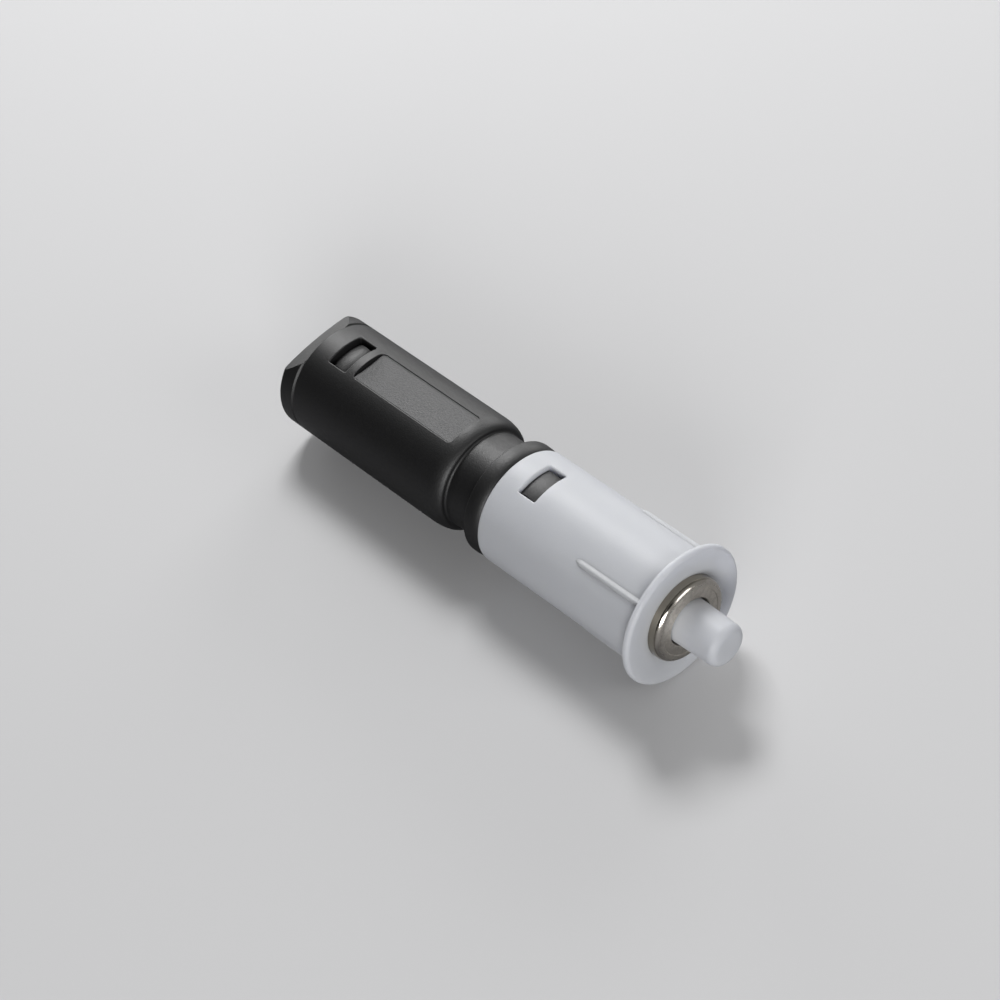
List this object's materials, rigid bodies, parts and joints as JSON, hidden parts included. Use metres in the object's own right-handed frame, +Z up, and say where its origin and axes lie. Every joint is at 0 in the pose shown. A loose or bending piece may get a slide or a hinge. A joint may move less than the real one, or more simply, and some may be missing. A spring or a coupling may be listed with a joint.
{
  "type": "touch latch",
  "caption": "Push-in cabinet touch latch: flanged grey barrel with a magnet ring and a sprung plunger, black rear tube with a bare panel.",
  "frame": {"origin": "on the barrel's axis, in the plane of the flange's back face, where it seats on the drilled panel", "axes": "+Y along the axis into the drilled hole, so the plunger points to -Y; +Z up, through the windows and the bare panel; +X to the right when seen from the front"},
  "size_m": [0.012, 0.046, 0.012],
  "materials": {
    "grey_plastic": "fine satin moulded finish",
    "black_plastic": "fine matte moulded finish",
    "magnet": "nickel plating, polished edge and satin face",
    "spring_steel": "drawn spring wire"
  },
  "bodies": {
    "housing": {"front_housing": "grey_plastic", "ring_magnet": "magnet", "rear_housing": "black_plastic", "end_plug": "black_plastic", "main_spring": "spring_steel", "latch_wire": "spring_steel"},
    "plunger": {"plunger": "grey_plastic"}
  },
  "joints": [
    {"name": "plunger_slide", "type": "slide", "parent": "housing", "child": "plunger", "axis": [0, -1, 0], "range_m": [-0.002, 0.01], "deforming": ["main_spring", "latch_wire"]}
  ]
}
